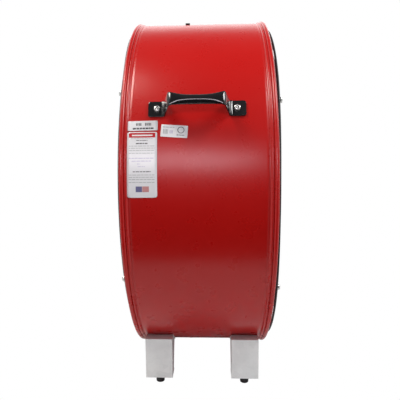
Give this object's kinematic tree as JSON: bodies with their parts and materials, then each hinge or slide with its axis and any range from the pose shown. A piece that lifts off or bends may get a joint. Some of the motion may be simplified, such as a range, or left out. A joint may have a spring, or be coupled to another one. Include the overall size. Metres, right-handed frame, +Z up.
{
  "type": "drum fan",
  "caption": "Air mover: round steel drum fan with wire guards both ends, direct-drive bladed wheel, side pull handles and folded legs on rubber feet.",
  "frame": {"origin": "on the floor under the middle of the drum", "axes": "+Z up; +X along the drum's axis, the way the air leaves; -Y is the side with the labels"},
  "size_m": [0.297, 0.6778, 0.6998],
  "materials": {
    "painted_drum": "satin",
    "guard_wire": "satin",
    "zinc": "satin",
    "handle_black": "gloss",
    "galvanised": "satin",
    "foot_rubber": "matte",
    "dark_steel": "satin",
    "motor_paint": "satin",
    "cast_alloy": "satin",
    "lamination": "satin",
    "ground_steel": "polished",
    "capacitor_can": "satin",
    "blade_alloy": "satin",
    "control_plastic": "matte",
    "label_white": "gloss"
  },
  "bodies": {
    "drum": {"drum_shell": "painted_drum", "front_face_ring": "painted_drum", "rear_face_ring": "painted_drum", "front_guard": "guard_wire", "rear_guard": "guard_wire", "front_guard_plate": "guard_wire", "rear_guard_plate": "guard_wire", "front_guard_screws": "zinc", "rear_guard_screws": "zinc", "handle_near": "handle_black", "handle_far": "handle_black", "handle_screws_near": "zinc", "handle_screws_far": "zinc", "handle_nuts": "zinc", "leg_front_near": "galvanised", "leg_front_far": "galvanised", "leg_rear_near": "galvanised", "leg_rear_far": "galvanised", "leg_bolts": "zinc", "leg_nuts": "zinc", "foot_front_near": "foot_rubber", "foot_front_far": "foot_rubber", "foot_rear_near": "foot_rubber", "foot_rear_far": "foot_rubber", "foot_screws": "zinc", "foot_nuts": "zinc", "motor_rail_near": "galvanised", "motor_rail_far": "galvanised", "rail_bolts": "dark_steel", "rail_nuts": "zinc", "motor_plate": "galvanised", "motor_plate_bolts": "zinc", "motor_plate_nuts": "zinc", "motor_shell": "motor_paint", "motor_bell_front": "cast_alloy", "motor_bell_rear": "cast_alloy", "motor_bolts": "zinc", "bearing_front": "ground_steel", "bearing_rear": "ground_steel", "stator": "lamination", "capacitor": "capacitor_can", "capacitor_strap": "galvanised", "control_box": "control_plastic", "control_box_screws": "zinc", "speed_switch": "control_plastic", "switch_nut": "zinc", "cord_gland": "control_plastic", "label_strip": "label_white", "label_panel": "label_white", "label_small": "label_white"},
    "fan": {"fan_hub": "galvanised", "blade_rivets": "zinc", "hub_set_screw": "dark_steel", "blade_1": "blade_alloy", "blade_2": "blade_alloy", "blade_3": "blade_alloy", "motor_shaft": "ground_steel", "rotor_core": "lamination"},
    "knob": {"speed_knob": "control_plastic"}
  },
  "joints": [
    {"name": "fan_spin", "type": "hinge", "parent": "drum", "child": "fan", "pos_m": [0.04991, 0, 0.3643], "axis": [1, 0, 0], "continuous": true},
    {"name": "speed_knob_turn", "type": "hinge", "parent": "drum", "child": "knob", "pos_m": [-0.14009, 0, 0.3803], "axis": [-1, 0, 0], "range_deg": [0, 180]}
  ]
}
